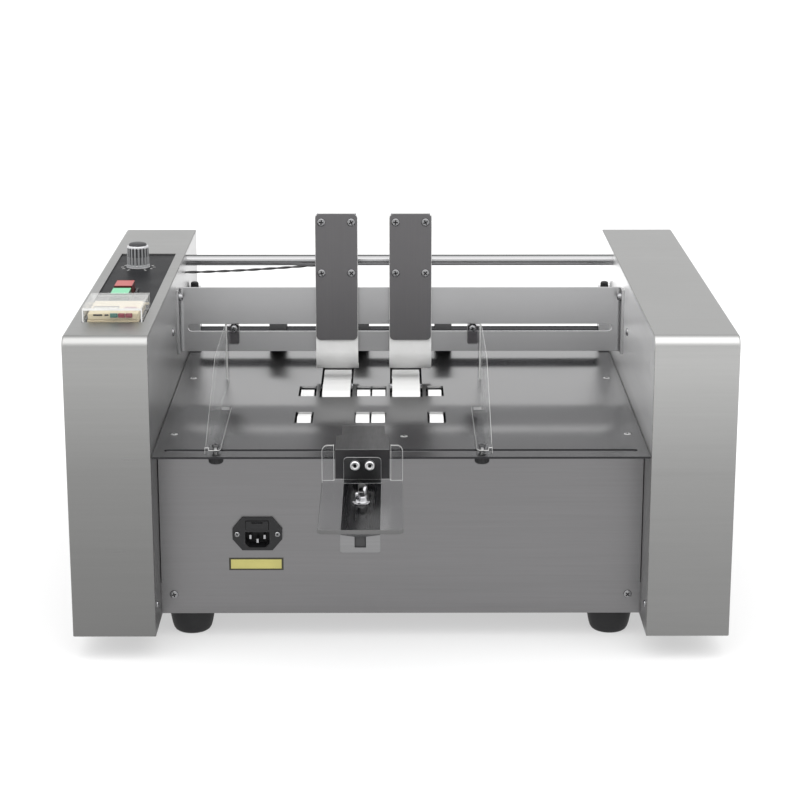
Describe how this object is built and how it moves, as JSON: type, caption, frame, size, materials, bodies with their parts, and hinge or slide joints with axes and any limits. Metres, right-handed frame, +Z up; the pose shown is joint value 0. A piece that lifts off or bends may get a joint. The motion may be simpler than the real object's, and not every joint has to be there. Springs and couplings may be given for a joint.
{
  "type": "friction sheet feeder",
  "caption": "Desktop friction sheet feeder: stainless table between two tall housings, white feed belts, height-set gates under a cross beam, clear side guides, a back stop and a control strip.",
  "frame": {"origin": "on the floor, under the middle of the machine's overall box", "axes": "+X to the operator's right, +Y the way the sheets travel, away from the operator, +Z up"},
  "size_m": [0.64, 0.697, 0.3909],
  "materials": {
    "brushed_stainless": "brushed stainless sheet",
    "dark_steel": "darker ground steel",
    "bright_steel": "bright plated or ground steel",
    "white_rubber": "matt white rubber",
    "black_rubber": "matt black rubber",
    "black_plastic": "matt black moulded plastic",
    "clear_acrylic": "clear polished acrylic",
    "bronze": "sintered bronze",
    "motor_paint": "dark grey paint",
    "control_paint": "dark satin panel",
    "counter_beige": "beige plastic",
    "button_red": "red translucent plastic",
    "button_green": "green translucent plastic",
    "knob_grey": "grey fluted plastic"
  },
  "bodies": {
    "frame": {"left_cover": "brushed_stainless", "right_cover": "brushed_stainless", "left_side_plate": "brushed_stainless", "right_side_plate": "brushed_stainless", "table_plate": "brushed_stainless", "front_panel": "brushed_stainless", "chassis_tray": "brushed_stainless", "rubber_feet": "black_rubber", "frame_screws": "bright_steel", "power_inlet": "black_plastic", "inlet_pins": "bright_steel", "cross_beam": "brushed_stainless", "tie_bar": "bright_steel", "narrow_belts": "white_rubber", "wide_belts": "white_rubber", "exit_belt": "black_rubber", "shaft_bearings": "bronze", "gear_motor": "motor_paint", "pinch_blocks": "dark_steel", "sensor": "black_plastic", "sensor_cable": "black_rubber", "stop_ramp": "dark_steel", "stop_bracket": "brushed_stainless", "control_panel": "control_paint", "counter": "counter_beige", "control_modules": "black_plastic"},
    "front_roller": {"front_roller": "bright_steel"},
    "drive_roller": {"drive_roller": "bright_steel"},
    "rear_roller": {"rear_roller": "bright_steel"},
    "exit_roller_set": {"exit_shaft": "bright_steel", "exit_rollers": "black_rubber"},
    "pinch_roller_set": {"pinch_shaft": "bright_steel", "pinch_wheels": "black_rubber"},
    "left_gate_carrier": {"left_gate_carrier": "dark_steel"},
    "left_gate": {"left_gate_block": "dark_steel", "left_gate_plate": "dark_steel", "left_separator": "white_rubber", "left_gate_screws": "bright_steel"},
    "left_gate_knob": {"left_gate_knob": "black_plastic"},
    "left_guide": {"left_guide": "clear_acrylic", "left_guide_bolt": "bright_steel"},
    "left_guide_knob": {"left_guide_knob": "black_plastic"},
    "left_pressure_knob": {"left_pressure_knob": "black_plastic"},
    "right_gate_carrier": {"right_gate_carrier": "dark_steel"},
    "right_gate": {"right_gate_block": "dark_steel", "right_gate_plate": "dark_steel", "right_separator": "white_rubber", "right_gate_screws": "bright_steel"},
    "right_gate_knob": {"right_gate_knob": "black_plastic"},
    "right_guide": {"right_guide": "clear_acrylic", "right_guide_bolt": "bright_steel"},
    "right_guide_knob": {"right_guide_knob": "black_plastic"},
    "right_pressure_knob": {"right_pressure_knob": "black_plastic"},
    "back_stop": {"back_stop": "clear_acrylic"},
    "wing_nut": {"wing_nut": "bright_steel"},
    "fuse_drawer": {"fuse_drawer": "black_plastic"},
    "counter_cover": {"counter_cover": "clear_acrylic"},
    "red_button": {"red_button": "button_red"},
    "green_button": {"green_button": "button_green"},
    "speed_knob": {"speed_knob": "knob_grey"}
  },
  "joints": [
    {"name": "drive_roller_spin", "type": "hinge", "parent": "frame", "child": "drive_roller", "pos_m": [0, 0.0515, 0.1883], "axis": [-1, 0, 0], "continuous": true},
    {"name": "front_roller_spin", "type": "hinge", "parent": "frame", "child": "front_roller", "pos_m": [0, -0.0515, 0.1883], "axis": [-1, 0, 0], "continuous": true},
    {"name": "rear_roller_spin", "type": "hinge", "parent": "frame", "child": "rear_roller", "pos_m": [0, 0.1365, 0.1883], "axis": [-1, 0, 0], "continuous": true},
    {"name": "exit_roller_spin", "type": "hinge", "parent": "frame", "child": "exit_roller_set", "pos_m": [0, 0.2485, 0.1923], "axis": [-1, 0, 0], "continuous": true},
    {"name": "pinch_wheel_spin", "type": "hinge", "parent": "frame", "child": "pinch_roller_set", "pos_m": [0, 0.2485, 0.2265], "axis": [1, 0, 0], "continuous": true},
    {"name": "left_gate_shift", "type": "slide", "parent": "frame", "child": "left_gate_carrier", "axis": [1, 0, 0], "range_m": [-0.015, 0.015]},
    {"name": "left_gate_height", "type": "slide", "parent": "left_gate_carrier", "child": "left_gate", "axis": [0, 0, 1], "range_m": [-0.0065, 0.01]},
    {"name": "left_gate_knob_turn", "type": "hinge", "parent": "left_gate_carrier", "child": "left_gate_knob", "pos_m": [-0.0675, 0.1295, 0.2645], "axis": [0, 1, 0], "range_deg": [-180, 180]},
    {"name": "right_gate_shift", "type": "slide", "parent": "frame", "child": "right_gate_carrier", "axis": [1, 0, 0], "range_m": [-0.015, 0.015]},
    {"name": "right_gate_height", "type": "slide", "parent": "right_gate_carrier", "child": "right_gate", "axis": [0, 0, 1], "range_m": [-0.0065, 0.01]},
    {"name": "right_gate_knob_turn", "type": "hinge", "parent": "right_gate_carrier", "child": "right_gate_knob", "pos_m": [0.011, 0.1295, 0.2645], "axis": [0, 1, 0], "range_deg": [-180, 180]},
    {"name": "left_guide_shift", "type": "slide", "parent": "frame", "child": "left_guide", "axis": [1, 0, 0], "range_m": [-0.04, 0.055]},
    {"name": "left_guide_knob_turn", "type": "hinge", "parent": "left_guide", "child": "left_guide_knob", "pos_m": [-0.1785, -0.1695, 0.2005], "axis": [0, 0, 1], "range_deg": [-180, 180]},
    {"name": "right_guide_shift", "type": "slide", "parent": "frame", "child": "right_guide", "axis": [1, 0, 0], "range_m": [-0.015, 0.14]},
    {"name": "right_guide_knob_turn", "type": "hinge", "parent": "right_guide", "child": "right_guide_knob", "pos_m": [0.078, -0.1695, 0.2005], "axis": [0, 0, 1], "range_deg": [-180, 180]},
    {"name": "back_stop_draw", "type": "slide", "parent": "frame", "child": "back_stop", "axis": [0, -1, 0], "range_m": [0, 0.055]},
    {"name": "wing_nut_turn", "type": "hinge", "parent": "frame", "child": "wing_nut", "pos_m": [-0.037, -0.2695, 0.1925], "axis": [0, 0, 1], "range_deg": [-180, 180]},
    {"name": "fuse_drawer_pull", "type": "slide", "parent": "frame", "child": "fuse_drawer", "axis": [0, -1, 0], "range_m": [0, 0.012]},
    {"name": "counter_cover_lift", "type": "hinge", "parent": "frame", "child": "counter_cover", "pos_m": [-0.279, -0.0615, 0.328], "axis": [-1, 0, 0], "range_deg": [0, 95]},
    {"name": "green_button_press", "type": "slide", "parent": "frame", "child": "green_button", "axis": [0, 0, -1], "range_m": [0, 0.0025], "stiffness_N_per_m": 500, "springref_m": -0.001},
    {"name": "red_button_press", "type": "slide", "parent": "frame", "child": "red_button", "axis": [0, 0, -1], "range_m": [0, 0.0025], "stiffness_N_per_m": 500, "springref_m": -0.001},
    {"name": "speed_knob_turn", "type": "hinge", "parent": "frame", "child": "speed_knob", "pos_m": [-0.2835, 0.1385, 0.33], "axis": [0, 0, 1], "range_deg": [-150, 150]},
    {"name": "left_pressure_knob_turn", "type": "hinge", "parent": "frame", "child": "left_pressure_knob", "pos_m": [-0.233, 0.2485, 0.2805], "axis": [0, 0, 1], "range_deg": [-180, 180]},
    {"name": "right_pressure_knob_turn", "type": "hinge", "parent": "frame", "child": "right_pressure_knob", "pos_m": [0.233, 0.2485, 0.2805], "axis": [0, 0, 1], "range_deg": [-180, 180]}
  ],
  "couplings": [
    {"joint": "front_roller_spin", "follows": "drive_roller_spin", "ratio": 1},
    {"joint": "rear_roller_spin", "follows": "drive_roller_spin", "ratio": 1},
    {"joint": "exit_roller_spin", "follows": "drive_roller_spin", "ratio": 1.4286},
    {"joint": "pinch_wheel_spin", "follows": "drive_roller_spin", "ratio": 1.2841}
  ]
}
